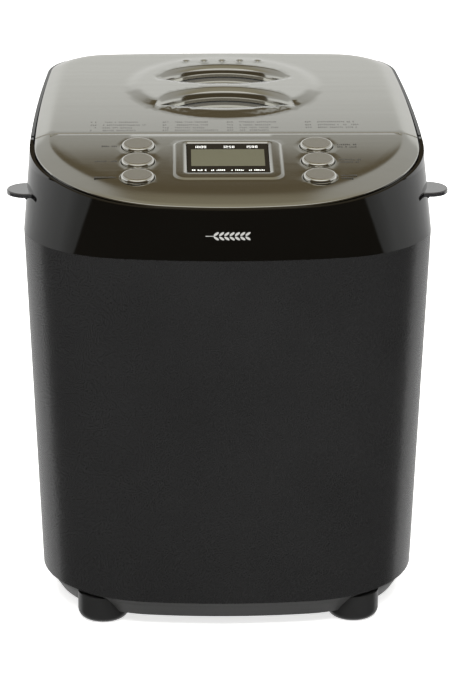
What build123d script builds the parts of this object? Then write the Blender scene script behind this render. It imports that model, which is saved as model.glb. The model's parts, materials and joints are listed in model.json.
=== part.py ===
from build123d import *

# Bread machine: a tall tapered housing with a silver top, hinged lid, pan, drive and electronics.
#
# Frame: millimetres, +Z up, +X to the user's right, the front faces -Y, origin under the middle of the body.

import os
from collections import namedtuple
from math import cos, hypot, radians, sin, sqrt

# ---------------------------------------------------------------- driving dimensions
Outline = namedtuple("Outline", "half_width front rear front_radius front_corner rear_corner")

split_y = -40.6            # line across the top where the lid meets the control panel
split_z = 315.4
lid_rise = 3.95            # degrees, the lid climbs towards the rear
panel_fall = 9.03          # degrees, the panel drops towards the front
side_radius = 2125.0       # the flanks are almost straight
rear_radius = 1226.0
widest_y = -26.6

base_z = 8.0
floor_z = 10.5
shell_z = 21.7
seam_z = 261.6
collar_mid_z = 300.0
collar_top_z = 340.0       # the collar's walls are drawn to here and cut by the sloping top
shell_wall = 2.5
slot_half_width = 1.5      # cooling slots in the floor and the back
cooling_pitch = 9.0
collar_wall = 2.2

skirt_bottom = Outline(118.0, -154.5, 150.0, 414.0, 73.0, 34.0)
skirt_top = Outline(126.6, -163.3, 158.6, 424.0, 81.5, 42.0)
shell_bottom = Outline(128.4, -165.1, 160.4, 426.0, 83.0, 43.0)
seam = Outline(137.5, -166.4, 166.4, 398.0, 78.0, 45.0)
collar_mid = Outline(134.5, -153.96, 166.2, 347.0, 102.5, 45.0)
collar_top = Outline(131.5, -148.0, 166.0, 345.0, 101.0, 45.0)
plate_rim = Outline(130.3, -153.2, 163.4, 345.0, 100.0, 43.0)
plate_crown = Outline(121.3, -135.2, 154.4, 336.0, 91.0, 34.0)

bevel_drop = 3.5           # the plate's edge lies this far below its flat
plate_lip = 1.5
collar_below_plate = 4.2
split_gap = 0.4            # half the gap between lid and panel
skin = 1.2
panel_wall = 2.0
panel_skirt = 6.0          # the panel's edge reaches this far below its flat

button_radius = 11.0
button_x = 60.0
button_first = 23.5        # down the panel's slope from the split
button_pitch = 26.0
button_height = 3.0
lcd_top = 19.0
lcd_bottom = 68.0
lcd_width = 54.7
lcd_middle = (lcd_top + lcd_bottom) / 2
lcd_surround = (74.0, 66.5)
lcd_surround_top = 14.5
lcd_surround_height = 0.9
pcb_depth = 14.0
pcb_thickness = 1.6
panel_screw_places = [(x, y) for x in (-86, 86) for y in (-14, -82)]

slot_front = (47.0, 51.0, 62.0, 95.0)       # half length, near edge, ends, far edge, from the split
slot_rear = (46.0, 111.0, 126.0, 154.5)
slot_depth = 5.6
glass_top = 6.2
glass_thickness = 3.0
glass_center = 106.0       # behind the split
glass_size = (120.0, 116.0)
liner_window = (56.0, 55.5)                 # half sizes of the hole under the glass
boss_center = 110.0
boss_half = (69.0, 75.0)
boss_slope_width = 11.0
vent_pitch = 13.2
vent_y = 171.0
vent_size = (3.6, 5.0)
vent_count = 5

deck_z = 300.0
deck_thickness = 3.0
lid_bottom = 304.2
liner_z = 305.5
hinge_y = 158.4
hinge_z = 321.0
hinge_pin_radius = 2.0
hinge_arm = (60.0, 72.0)   # each hinge's arm, between these distances from the middle
hinge_play = 0.4
hinge_reach = (46.0, 86.0)
hinge_barrel_radius = 4.2
hinge_knuckle_radius = 3.3
recess_half = 116.0        # the collar's rear wall is low between these
recess_y = 146.0
recess_z = 310.0

grip_y = -75.6
grip_z = 285.0
grip_root_x = 135.1         # the tab's straight part ends here
grip_reach = 13.1
grip_half = 15.3
grip_thickness = 2.8

chamber_center = 68.0
chamber_half = (112.0, 78.0)
chamber_z = 62.0
chamber_top = deck_z + deck_thickness
chamber_corner = 20.0
chamber_flange = 5.0
sheet = 1.0
chassis_z = 54.0
chassis_thickness = 3.0
chassis_top = chassis_z + chassis_thickness
chassis_post_places = [(-88, -98), (88, -98), (-88, 88), (88, 88)]

element_z = 95.0
element_leg_x = 20.0
element_radius = 3.2
sensor_x = 60.0
sensor_z = 150.0

pan_bottom_z = 88.0
pan_top_z = 238.0
pan_bottom_half = (88.0, 60.0)
pan_top_half = (98.0, 70.0)
pan_wall = 1.6
pan_rim = 3.0
pan_corner = 22.0
pan_ring_radius = 45.0
bail_z = 242.0
bail_length = 54.0
bail_x = 104.5
bail_radius = 2.5
bail_pin_radius = 3.0

gland_x = 70.0
gland_z = 45.0
gland_radius = 9.0
gland_bore = 3.6

shaft_radius = 4.0
motor_shaft_radius = 3.0
running_gap = 0.05
drive_pulley_radius = 45.0
motor_pulley_radius = 9.0
pulley_z = 40.0
pulley_height = 10.0
motor_y = -78.0
motor_z = 62.0
motor_half = 33.0
motor_stack = (74.0, 102.0)
motor_top = 114.0
rotor_radius = 17.5
winding_radii = (19.0, 28.0)
board_z = 17.0
belt_thickness = 2.4
belt_gap = 0.3

foot_radius = 17.5
foot_round = 6.0
foot_top = 19.0
foot_x = 85.0
foot_front_y = -131.6
foot_rear_y = 118.0


# ---------------------------------------------------------------- small helpers
def block(x0, x1, y0, y1, z0, z1):
    """Box between two corners."""
    return Pos((x0 + x1) / 2, (y0 + y1) / 2, (z0 + z1) / 2) * Box(x1 - x0, y1 - y0, z1 - z0)


def post(x, y, z0, z1, radius):
    """Upright cylinder."""
    return Pos(x, y, (z0 + z1) / 2) * Cylinder(radius, z1 - z0)


def rod_x(x0, x1, y, z, radius):
    """Cylinder along X."""
    return Pos((x0 + x1) / 2, y, z) * Rot(0, 90, 0) * Cylinder(radius, x1 - x0)


def rod_y(x, y0, y1, z, radius):
    """Cylinder along Y."""
    return Pos(x, (y0 + y1) / 2, z) * Rot(90, 0, 0) * Cylinder(radius, y1 - y0)


def mirrored(shape):
    """The shape and its mirror image across the machine's middle plane."""
    return [shape, mirror(shape, about=Plane.YZ)]


def rounded_tube(half, center_y, z0, z1, corner):
    """Upright prism with a rounded rectangular plan."""
    plan = RectangleRounded(2 * half[0], 2 * half[1], corner)
    return extrude(Pos(0, center_y, z0) * plan, z1 - z0)


def tilted(angle):
    """Plane through the split line, climbing towards the rear by the angle."""
    return Plane((0, split_y, split_z), x_dir=(1, 0, 0), z_dir=(0, -sin(radians(angle)), cos(radians(angle))))


lid_plane = tilted(lid_rise)
panel_plane = tilted(panel_fall)


def on(plane, x, y, height):
    """Location on a tilted plane: x across, y rearwards from the split, height above the plane."""
    return plane.location * Pos(x, y, height)


def above(plane, height, rearwards):
    """Everything above a tilted plane on one side of the split."""
    reach = 300
    return on(plane, 0, reach / 2 if rearwards else -reach / 2, height + 50) * Box(400, reach, 100)


def screw(x, y, z, length, head_up=True, radius=1.9, head=4.0, head_height=2.2):
    """Pan-head screw whose head sits at z."""
    up = 1 if head_up else -1
    shank = post(x, y, min(z, z - up * length), max(z, z - up * length), radius)
    cap = post(x, y, min(z, z + up * head_height), max(z, z + up * head_height), head)
    return shank + cap


# ---------------------------------------------------------------- body outlines
def corner_center(first, first_reach, second, second_reach, pick):
    """Centre of a corner arc that lies inside two large arcs and touches both."""
    dx = second[0] - first[0]
    dy = second[1] - first[1]
    gap = hypot(dx, dy)
    along = (first_reach**2 - second_reach**2 + gap**2) / (2 * gap)
    off = sqrt(first_reach**2 - along**2)
    middle = (first[0] + along * dx / gap, first[1] + along * dy / gap)
    step = (-off * dy / gap, off * dx / gap)
    both = [(middle[0] + s * step[0], middle[1] + s * step[1]) for s in (1, -1)]
    return pick(both, key=lambda point: point[1])


def corner_points(end_center, end_radius, side_center, side, corner, pick):
    """End tangent point, middle and side tangent point of one corner arc."""
    center = corner_center(end_center, end_radius - corner, side_center, side - corner, pick)
    from_end = (Vector(*center) - Vector(*end_center)).normalized()
    from_side = (Vector(*center) - Vector(*side_center)).normalized()
    middle = Vector(*center) + (from_end + from_side).normalized() * corner
    return Vector(*end_center) + from_end * end_radius, middle, Vector(*side_center) + from_side * side


def flip(point):
    """Mirror image of a point across the middle plane."""
    return Vector(-point.X, point.Y, point.Z)


def outline_wire(outline, inset=0.0, shift_y=0.0):
    """Closed wire of eight tangent arcs, moved inwards by the inset."""
    front_radius = outline.front_radius - inset
    back_radius = rear_radius - inset
    side = side_radius - inset
    front_center = (0, outline.front + outline.front_radius)
    back_center = (0, outline.rear - rear_radius)
    side_center = (outline.half_width - side_radius, widest_y)
    front = corner_points(front_center, front_radius, side_center, side, outline.front_corner - inset, min)
    back = corner_points(back_center, back_radius, side_center, side, outline.rear_corner - inset, max)
    flank = Vector(outline.half_width - inset, widest_y)
    nose = Vector(0, outline.front + inset)
    tail = Vector(0, outline.rear - inset)
    arcs = [
        (flip(front[0]), nose, front[0]),
        front,
        (front[2], flank, back[2]),
        (back[2], back[1], back[0]),
        (back[0], tail, flip(back[0])),
        (flip(back[0]), flip(back[1]), flip(back[2])),
        (flip(back[2]), flip(flank), flip(front[2])),
        (flip(front[2]), flip(front[1]), flip(front[0])),
    ]
    wire = Wire([Edge.make_three_point_arc(*arc) for arc in arcs])
    return wire.moved(Location((0, shift_y, 0)))


def outline_loft(levels, inset=0.0):
    """Solid through outlines at given heights."""
    wires = [outline_wire(outline, inset).moved(Location((0, 0, z))) for outline, z in levels]
    return Part() + Solid.make_loft(wires, ruled=True)


def outline_prism(outline, z0, z1, inset=0.0):
    """Upright prism of an outline."""
    return extrude(Pos(0, 0, z0) * Face(outline_wire(outline, inset)), z1 - z0)


def collar_volume(inset=0.0):
    """Outer volume of the collar, before its sloping top is cut."""
    levels = [(seam, seam_z), (collar_mid, collar_mid_z), (collar_top, collar_top_z)]
    return outline_loft(levels, inset)


def plate_volume(plane, wall, bottom):
    """Bevelled plate on a tilted plane, made smaller by a wall on its sides and top."""
    rim = outline_wire(plate_rim, wall, -split_y)
    crown = outline_wire(plate_crown, wall, -split_y)
    lower = extrude(on(plane, 0, 0, bottom) * Face(rim), -bevel_drop - wall - bottom, dir=plane.z_dir)
    rim_wire = rim.moved(on(plane, 0, 0, -bevel_drop - wall))
    crown_wire = crown.moved(on(plane, 0, 0, -wall))
    return lower + Solid.make_loft([rim_wire, crown_wire], ruled=True)


def half_of(shape, rearwards, clear=split_gap):
    """Keep the lid's or the panel's side of the split."""
    if rearwards:
        keep = block(-200, 200, split_y + clear, 220, 200, 400)
    else:
        keep = block(-200, 200, -220, split_y - clear, 200, 400)
    return shape & keep


# ---------------------------------------------------------------- outer housing
def base_tray():
    """Floor with the tapering skirt, an upstand that locates the shell and four posts for the chassis."""
    levels = [(skirt_bottom, base_z), (skirt_top, shell_z)]
    hollow = outline_loft(levels, shell_wall) & block(-200, 200, -200, 200, floor_z, 40)
    skirt = outline_loft(levels) - hollow
    upstand = outline_prism(shell_bottom, shell_z - 4, shell_z + 9, 4.3)
    upstand -= outline_prism(shell_bottom, shell_z - 4, shell_z + 9, 6.3)
    tray = skirt + upstand
    for x in range(-60, 61, 12):
        tray -= block(x - slot_half_width, x + slot_half_width, 20, 60, base_z - 1, floor_z + 1)
    for x, y in chassis_post_places:
        tray += post(x, y, base_z, chassis_z, 6)
    for hole in base_screws() + chassis_screws():
        tray -= hole
    for x, y in foot_places():
        tray -= post(x, y, 0, foot_top, foot_radius)
    return tray


def lower_shell():
    """Tapered outer shell with cooling slots in the back and a hole for the cord gland."""
    levels = [(shell_bottom, shell_z), (seam, seam_z)]
    shell = outline_loft(levels) - outline_loft(levels, shell_wall)
    for column in range(-6, 7):
        x = column * cooling_pitch
        shell -= block(x - slot_half_width, x + slot_half_width, 140, 175, 70, 112)
    shell -= rod_y(gland_x, 140, 175, gland_z, gland_radius + 0.1)
    return shell


def upper_collar():
    """Glossy collar that carries the top plate; its rear is low, where the lid's hinge swings."""
    collar = collar_volume() - collar_volume(collar_wall)
    collar -= above(lid_plane, -collar_below_plate, True)
    collar -= above(panel_plane, -collar_below_plate, False)
    collar -= block(-200, 200, split_y - 8, split_y + 8, split_z - collar_below_plate, 345)
    collar -= block(-recess_half, recess_half, recess_y, 180, recess_z, 345)
    ledge = collar_volume(collar_wall - 0.1) - collar_volume(10.0)
    ledge = half_of(ledge, False, 3.0)
    ledge -= above(panel_plane, -panel_skirt, False)
    ledge &= above(panel_plane, -panel_skirt - 2.0, False)
    return collar + ledge


def side_grip(side):
    """D-shaped lifting tab with a small rib under its root."""
    tab = Pos(grip_root_x, grip_y) * Ellipse(grip_reach, grip_half)
    tab &= Pos(grip_root_x + grip_reach, grip_y) * Rectangle(2 * grip_reach, 2 * grip_half)
    tab += Pos(grip_root_x - grip_half / 2, grip_y) * Rectangle(grip_half, 2 * grip_half)
    tab = extrude(Pos(0, 0, grip_z - grip_thickness / 2) * tab, grip_thickness)
    tab = fillet(tab.edges().group_by(Axis.Z)[-1], 0.9)
    under = grip_z - grip_thickness / 2 + 0.1
    low = (grip_root_x - 5, under - 10)
    rib_profile = make_face(Polyline(low, (grip_root_x + 5, under), (grip_root_x - 5, under), close=True))
    rib = extrude(Plane((0, grip_y + 1.5, 0), x_dir=(1, 0, 0), z_dir=(0, -1, 0)) * rib_profile, 3)
    grip = tab + rib - collar_volume()
    grip &= block(100, 160, grip_y - 45, grip_y + 45, grip_z - 35, grip_z + 15)
    return grip if side > 0 else mirror(grip, about=Plane.YZ)


def foot_places():
    """Centres of the feet."""
    return [(x, y) for x in (-foot_x, foot_x) for y in (foot_front_y, foot_rear_y)]


def rubber_feet():
    """Four rounded feet that stand up into the skirt."""
    feet = []
    for x, y in foot_places():
        body = post(x, y, 0, foot_top, foot_radius)
        feet.append(fillet(body.edges().sort_by(Axis.Z)[0], foot_round))
    return feet


def top_deck():
    """Frame under the lid with the opening for the baking chamber."""
    deck = outline_prism(collar_mid, deck_z, deck_z + deck_thickness, 3.0)
    deck &= block(-200, 200, split_y - 2.0, 200, 290, 310)
    hole = (chamber_half[0] + 0.4, chamber_half[1] + 0.4)
    return deck - rounded_tube(hole, chamber_center, deck_z - 1, deck_z + 5, chamber_corner + 0.4)


def cord_gland():
    """Rubber gland with a bore for the mains cord."""
    gland = rod_y(gland_x, 150, 160.0, gland_z, gland_radius)
    gland += rod_y(gland_x, 160.0, 163.0, gland_z, gland_radius + 3)
    gland += rod_y(gland_x, 150, 153.0, gland_z, gland_radius + 3)
    return gland - rod_y(gland_x, 148, 165, gland_z, gland_bore)


# ---------------------------------------------------------------- control panel
def button_places():
    """Button name and its place on the panel, from the rear row forwards."""
    rows = [-button_first - button_pitch * row for row in range(3)]
    return [(f"button_{side}_{row + 1}", sign * button_x, rows[row])
            for side, sign in (("left", -1), ("right", 1)) for row in range(3)]


def control_panel():
    """Silver sloping panel with the display window, button holes and screw bosses."""
    panel = plate_volume(panel_plane, 0, -panel_skirt) - plate_volume(panel_plane, panel_wall, -9.0)
    panel = half_of(panel, False)
    flange = outline_prism(plate_rim, lid_bottom, split_z - panel_wall, 1.0)
    panel += flange & block(-200, 200, split_y - split_gap - 2.2, split_y - split_gap, 290, 320)
    for x, y in panel_screw_places:
        panel += on(panel_plane, x, y, -(pcb_depth + 1) / 2) * Cylinder(3.5, pcb_depth - 1)
    for _, x, y in button_places():
        panel -= on(panel_plane, x, y, 0) * Cylinder(button_radius + 0.35, 12)
    panel -= on(panel_plane, 0, -lcd_middle, 0) * Box(lcd_width + 1.4, lcd_bottom - lcd_top + 1.4, 12)
    for hole in panel_screws():
        panel -= hole
    return panel


def lcd_frame():
    """Raised surround of the display."""
    width, depth = lcd_surround
    center_y = -lcd_surround_top - depth / 2
    plan = RectangleRounded(width, depth, 9)
    frame = extrude(on(panel_plane, 0, center_y, 0) * plan, lcd_surround_height, dir=panel_plane.z_dir)
    frame -= on(panel_plane, 0, -lcd_middle, 0) * Box(lcd_width, lcd_bottom - lcd_top, 6)
    return chamfer(frame.faces().sort_by(SortBy.AREA)[-1].outer_wire().edges(), 0.4)


def lcd_lens():
    """Clear window of the display."""
    return on(panel_plane, 0, -lcd_middle, -0.25) * Box(lcd_width - 0.4, lcd_bottom - lcd_top - 0.4, 1.5)


def lcd_module():
    """Display module behind the lens, standing on the circuit board."""
    gap = 1.4
    height = pcb_depth - gap
    return on(panel_plane, 0, -lcd_middle, -gap - height / 2) * Box(50, 42, height)


def button(x, y):
    """Round chrome key with a retaining flange and a stem."""
    below = 3.0
    cap = on(panel_plane, x, y, (button_height - below) / 2) * Cylinder(button_radius, button_height + below)
    cap = fillet(cap.edges().sort_by(Axis.Z)[-1], 1.3)
    flange = on(panel_plane, x, y, -3.4) * Cylinder(button_radius + 1.6, 1.6)
    stem = on(panel_plane, x, y, -6.8) * Cylinder(2.5, 5.4)
    return cap + flange + stem


def control_pcb():
    """Circuit board parallel to the panel, with the sounder under it."""
    board = on(panel_plane, 0, -48, -pcb_depth - pcb_thickness / 2) * Box(182, 78, pcb_thickness)
    for hole in panel_screws():
        board -= hole
    sounder = on(panel_plane, 30, -70, -pcb_depth - pcb_thickness - 4) * Cylinder(6, 8)
    return board + sounder


def tact_switches():
    """One switch under each key."""
    side, height = 6.0, 3.2
    return [on(panel_plane, x, y, -pcb_depth + height / 2) * Box(side, side, height)
            for _, x, y in button_places()]


def panel_screws():
    """Screws that hold the board to the panel's bosses."""
    screws = []
    under = -pcb_depth - pcb_thickness
    for x, y in panel_screw_places:
        shank = on(panel_plane, x, y, under + 3.5) * Cylinder(1.4, 7)
        head = on(panel_plane, x, y, under - 0.8) * Cylinder(2.8, 1.6)
        screws.append(shank + head)
    return screws


# ---------------------------------------------------------------- lid
def slot_face(slot, grow=0.0):
    """Lens-shaped plan of a window slot, grown or shrunk evenly."""
    half, near, ends, far = slot
    near_arc = ThreePointArc((-half, ends), (0, near), (half, ends))
    far_arc = ThreePointArc((half, ends), (0, far), (-half, ends))
    face = make_face([near_arc, far_arc])
    return offset(face, grow, kind=Kind.INTERSECTION) if grow else face


def slot_prism(slot, bottom, top, grow=0.0):
    """Window slot as a prism square to the lid."""
    return extrude(on(lid_plane, 0, 0, bottom) * slot_face(slot, grow), top - bottom, dir=lid_plane.z_dir)


def lid_boss():
    """Low oval rise round the window slots, highest in front."""
    foot_edge = Pos(0, boss_center) * Ellipse(*boss_half)
    top_half = [half - boss_slope_width for half in boss_half]
    top_edge = Pos(0, boss_center) * Ellipse(*top_half)
    lower = foot_edge.wire().moved(on(lid_plane, 0, 0, -0.4))
    settle = Location((0, 0, 2.0), (-0.9, 0, 0))
    upper = top_edge.wire().moved(Location((0, -boss_center, 0)))
    upper = upper.moved(settle).moved(Location((0, boss_center, 0))).moved(lid_plane.location)
    return Solid.make_loft([lower, upper], ruled=True)


def lid_skin():
    """Silver lid skin with the oval rise, two window slots and five steam vents."""
    plate = plate_volume(lid_plane, 0, -bevel_drop - plate_lip) - plate_volume(lid_plane, skin, -9.0)
    plate = half_of(plate, True) + lid_boss()
    for slot in (slot_front, slot_rear):
        plate += slot_prism(slot, -slot_depth, -0.5, skin)
    for slot in (slot_front, slot_rear):
        plate -= slot_prism(slot, -slot_depth - 1, 10)
    first = -(vent_count - 1) / 2
    for index in range(vent_count):
        plate -= on(lid_plane, (first + index) * vent_pitch, vent_y, 0) * Box(*vent_size, 12)
    return plate


def window_trims():
    """Bright ring at the foot of each slot."""
    return [slot_prism(slot, -slot_depth, -slot_depth + 2, -0.05) - slot_prism(slot, -slot_depth - 1, 0, -2.2)
            for slot in (slot_front, slot_rear)]


def window_gaskets():
    """Black seal between each slot and the glass."""
    gaskets = []
    for slot in (slot_front, slot_rear):
        ring = slot_prism(slot, -glass_top, -slot_depth, 1.0)
        gaskets.append(ring - slot_prism(slot, -glass_top - 1, 0, -1.4))
    return gaskets


def window_glass():
    """Heat-proof pane under both slots."""
    middle = -glass_top - glass_thickness / 2
    return on(lid_plane, 0, glass_center, middle) * Box(*glass_size, glass_thickness)


def hinge_notches(front_y):
    """Space in the lid for the two hinge arms of the body."""
    low, high = hinge_arm
    notch = block(low - hinge_play, high + hinge_play, front_y, 175, 295, 325.4)
    return mirrored(notch)


def lid_frame():
    """Black frame under the skin, with the hinge barrels and the apron that closes the collar's recess."""
    outer = half_of(outline_prism(plate_rim, lid_bottom, 340, 0.5), True)
    inner = half_of(outline_prism(plate_rim, lid_bottom - 1, 341, 3.5), True, 3.0)
    apron = collar_volume() & block(-recess_half + 0.6, recess_half - 0.6, 150, 180, recess_z + 2.6, 345)
    low, high = hinge_arm
    bridge = block(low - 8, high + 8, hinge_y - 9, hinge_y - 3, liner_z + skin, 324)
    frame = outer + apron - inner
    web = block(hinge_reach[0], hinge_reach[1], hinge_y - 4, hinge_y + 4, hinge_z - 4, hinge_z + 3.0)
    barrel = rod_x(hinge_reach[0], hinge_reach[1], hinge_y, hinge_z, hinge_barrel_radius)
    for part in mirrored(bridge) + mirrored(web) + mirrored(barrel):
        frame += part
    frame -= above(lid_plane, -bevel_drop - plate_lip, True)
    for notch in hinge_notches(hinge_y - 5):
        frame -= notch
    for pin in hinge_pins():
        frame -= pin
    return frame


def lid_liner():
    """Metal liner that closes the chamber, with a frame up to the glass."""
    liner = half_of(outline_prism(plate_rim, liner_z, liner_z + skin, 3.6), True, 3.2)
    half_x, half_y = liner_window
    middle = split_y + glass_center - 0.5
    hole = block(-half_x, half_x, middle - half_y, middle + half_y, liner_z - 1, 331)
    half_x, half_y = half_x + skin, half_y + skin
    collar = block(-half_x, half_x, middle - half_y, middle + half_y, liner_z, 330)
    liner -= hole
    collar -= hole
    collar -= above(lid_plane, -glass_top - glass_thickness, True)
    liner += collar
    for notch in hinge_notches(hinge_y - 5):
        liner -= notch
    for hole in lid_screws():
        liner -= hole
    return liner


def lid_seal():
    """Silicone ring under the liner that meets the chamber's flange."""
    outer_half = [half + chamber_flange for half in chamber_half]
    seal = rounded_tube(outer_half, chamber_center, 304.1, liner_z, chamber_corner + chamber_flange)
    return seal - rounded_tube(chamber_half, chamber_center, 303, liner_z + 1, chamber_corner)


def lid_screws():
    """Screws through the liner."""
    places = [(-105, -30), (0, -30), (105, -30), (-121, 60), (121, 60)]
    return [screw(x, y, liner_z, 4.5, head_up=False, head=3.2, head_height=1.2) for x, y in places]


def hinge_pins():
    """Steel pins of the two lid hinges."""
    return mirrored(rod_x(hinge_reach[0] + 1, hinge_reach[1] - 1, hinge_y, hinge_z, hinge_pin_radius))


def hinge_brackets():
    """Arms of the body that carry the hinge pins."""
    low, high = hinge_arm
    foot = deck_z + deck_thickness
    arm = block(low, high, hinge_y - 2.9, hinge_y + 2.9, foot, hinge_z)
    arm += rod_x(low, high, hinge_y, hinge_z, hinge_knuckle_radius)
    arm += block(low, high, hinge_y - 6, hinge_y + 2.9, foot, foot + 1.8)
    arm -= rod_x(low - 1, high + 1, hinge_y, hinge_z, hinge_pin_radius + running_gap)
    return mirrored(arm)


# ---------------------------------------------------------------- baking chamber
def baking_chamber():
    """Sheet-metal chamber with a flange that hangs on the deck and three rests for the element."""
    inner = [half - sheet for half in chamber_half]
    flange = [half + chamber_flange for half in chamber_half]
    lip = chamber_top + 0.8
    tub = rounded_tube(chamber_half, chamber_center, chamber_z, lip, chamber_corner)
    tub += rounded_tube(flange, chamber_center, chamber_top, lip, chamber_corner + chamber_flange)
    tub -= rounded_tube(inner, chamber_center, chamber_z + sheet, lip + 5, chamber_corner - sheet)
    tub -= post(0, chamber_center, chamber_z - 1, chamber_z + 2, 14.2)
    for x in (-element_leg_x, element_leg_x):
        tub -= rod_y(x, -15, -5, element_z, 5.0)
    tub -= rod_y(sensor_x, -15, -5, sensor_z, 3.05)
    rest_z = element_z - element_radius
    for rest in mirrored(block(100, 104, chamber_center - 6, chamber_center + 6, chamber_z, rest_z)):
        tub += rest
    return tub + block(-6, 6, chamber_center + 68, chamber_center + 72, chamber_z, rest_z)


def heating_element():
    """Tubular element that runs round the foot of the chamber, its ends through the front wall."""
    half_x = 102
    front = chamber_center - 70
    rear = chamber_center + 70
    leg = element_leg_x
    right = [(leg, -19), (leg, front), (half_x, front), (half_x, rear)]
    left = [(-x, y) for x, y in reversed(right)]
    points = [(x, y, element_z) for x, y in right + left]
    path = FilletPolyline(*points, radius=[5, 14, 14, 14, 14, 5])
    start = Plane((leg, -19, element_z), z_dir=(0, 1, 0))
    return sweep(start * Circle(element_radius), path)


def element_bushings():
    """Ceramic bushings where the element leaves the chamber."""
    return [rod_y(x, -16, -7, element_z, 5.0) - rod_y(x, -17, -6, element_z, element_radius)
            for x in (-element_leg_x, element_leg_x)]


def temperature_sensors():
    """Probe through the chamber's front wall, and the thermal cut-out held against that wall."""
    probe = rod_y(sensor_x, -20, -2, sensor_z, 3.0)
    wall_y = chamber_center - chamber_half[1]
    cut_out = rod_x(-70, -48, wall_y - 2.6, 200, 2.5) + block(-62, -56, wall_y - 5.4, wall_y, 190, 210)
    return [probe, cut_out]


def pan_socket():
    """Ring on the chamber's floor that takes the pan's foot, with two leaf springs."""
    floor = chamber_z + sheet
    ring = post(0, chamber_center, floor, 79, 50)
    for side in (-1, 1):
        spring_y = chamber_center + side * 49.6
        ring += block(-7, 7, spring_y - 1.2, spring_y + 1.2, floor, 84)
    return ring - post(0, chamber_center, 60, 90, 45.6)


def heat_shield():
    """Sheet between the chamber and the motor."""
    return block(-116, 116, -25, -24, chassis_top, 288)


# ---------------------------------------------------------------- kneading drive
def chassis_plate():
    """Steel plate that carries the motor, the drive bearing and, on four spacers, the chamber."""
    plate = block(-98, 98, -118, 135, chassis_z, chassis_top)
    plate -= post(0, chamber_center, 50, 60, 7)
    plate -= post(0, motor_y, 50, 60, 12)
    for hole in chassis_screws():
        plate -= hole
    for x in (-80, 80):
        for y in (20, 116):
            plate += post(x, y, chassis_z, chamber_z, 5)
    return plate


def chassis_screws():
    """Screws from above into the posts."""
    return [screw(x, y, chassis_top, 14) for x, y in chassis_post_places]


def base_screws():
    """Screws from below into the posts."""
    return [screw(x, y, base_z, 14, head_up=False) for x, y in chassis_post_places]


def drive_bearing():
    """Bearing housing up through the chamber's floor, with its bronze bushing."""
    housing = post(0, chamber_center, 57, 66, 14) + post(0, chamber_center, 57, 60, 20)
    bushing = post(0, chamber_center, 55, 66, 7) - post(0, chamber_center, 50, 70, shaft_radius + running_gap)
    return [housing - post(0, chamber_center, 50, 70, 7), bushing]


def drive_shaft():
    """Shaft of the large pulley."""
    return post(0, chamber_center, 34, 70, shaft_radius)


def pulley(y, radius, bore, hub):
    """Flat belt pulley with a web and a hub."""
    wheel = post(0, y, pulley_z, pulley_z + pulley_height, radius)
    if radius > 3 * hub:
        web = post(0, y, pulley_z + 6, pulley_z + pulley_height + 1, radius - 4)
        web += post(0, y, pulley_z - 1, pulley_z + 3.5, radius - 4)
        wheel = wheel - (web - post(0, y, 0, 100, hub))
    return wheel - post(0, y, 0, 100, bore)


def drive_coupling():
    """Driving disc with two dogs inside the chamber."""
    disc = post(0, chamber_center, 67, 70, 13) - post(0, chamber_center, 60, 72, shaft_radius)
    dog = block(2.9, 8.0, chamber_center + 4, chamber_center + 11, 70, 78)
    other = block(-8.0, -2.9, chamber_center - 11, chamber_center - 4, 70, 78)
    return disc + dog + other


def drive_belt():
    """Belt round both pulleys."""
    def loop(grow):
        big = Pos(0, chamber_center) * Circle(drive_pulley_radius + grow)
        small = Pos(0, motor_y) * Circle(motor_pulley_radius + grow)
        return make_hull([*big.edges(), *small.edges()])

    band = loop(belt_gap + belt_thickness) - loop(belt_gap)
    return extrude(Pos(0, 0, pulley_z + 1) * band, pulley_height - 2)


def motor_stator():
    """Laminated stator with a bore for the rotor."""
    stack = block(-motor_half, motor_half, motor_y - motor_half, motor_y + motor_half, *motor_stack)
    return stack - post(0, motor_y, 60, 120, rotor_radius + 0.5)


def motor_windings():
    """Copper coils above and below the stator."""
    low, high = motor_stack
    inner, outer = winding_radii
    hole = post(0, motor_y, motor_z, motor_top, inner)
    return [post(0, motor_y, high, high + 10, outer) - hole, post(0, motor_y, low - 9.5, low, outer) - hole]


def motor_brackets():
    """End brackets with the rotor's bearings."""
    def bracket(z0, z1):
        plate = block(-motor_half, motor_half, motor_y - 10, motor_y + 10, z0, z1)
        return plate - post(0, motor_y, 50, 130, motor_shaft_radius + running_gap)

    def legs(z0, z1):
        return mirrored(block(motor_half - 4, motor_half, motor_y - 10, motor_y + 10, z0, z1))

    low, high = motor_stack
    lower = bracket(motor_z, motor_z + 2.5)
    for leg in legs(motor_z + 2.4, low):
        lower += leg
    upper = bracket(motor_top, motor_top + 3)
    for leg in legs(high, motor_top + 0.1):
        upper += leg
    return [lower, upper]


def motor_rotor():
    """Rotor with its shaft, down through the chassis to the small pulley."""
    low, high = motor_stack
    return post(0, motor_y, low - 2, high + 2, rotor_radius) + post(0, motor_y, 36, 120, motor_shaft_radius)


def motor_mounts():
    """Rubber mounts between motor and chassis."""
    return [post(x, motor_y, chassis_top, motor_z, 5) for x in (-26, 26)]


# ---------------------------------------------------------------- electronics in the base
def power_pcb():
    """Power board on its spacers, with its capacitor and heater relay."""
    top = board_z + pcb_thickness
    board = block(-66, -8, -136, -92, board_z, top)
    for x in (-62, -12):
        for y in (-132, -96):
            board += post(x, y, floor_z, board_z + 0.2, 3)
    capacitor = post(-22, -124, top, 38, 7)
    relay = block(-30, -14, -112, -98, top, 34)
    return board + capacitor + relay


def transformer():
    """Small mains transformer."""
    return block(-62, -34, -126, -100, board_z + pcb_thickness, 42) + block(-59, -37, -129, -97, 23, 38)


def motor_capacitor():
    """Run capacitor of the motor, standing on the floor."""
    return fillet(block(20, 58, -134, -114, floor_z, 40).edges().filter_by(Axis.Z), 3)


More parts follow.
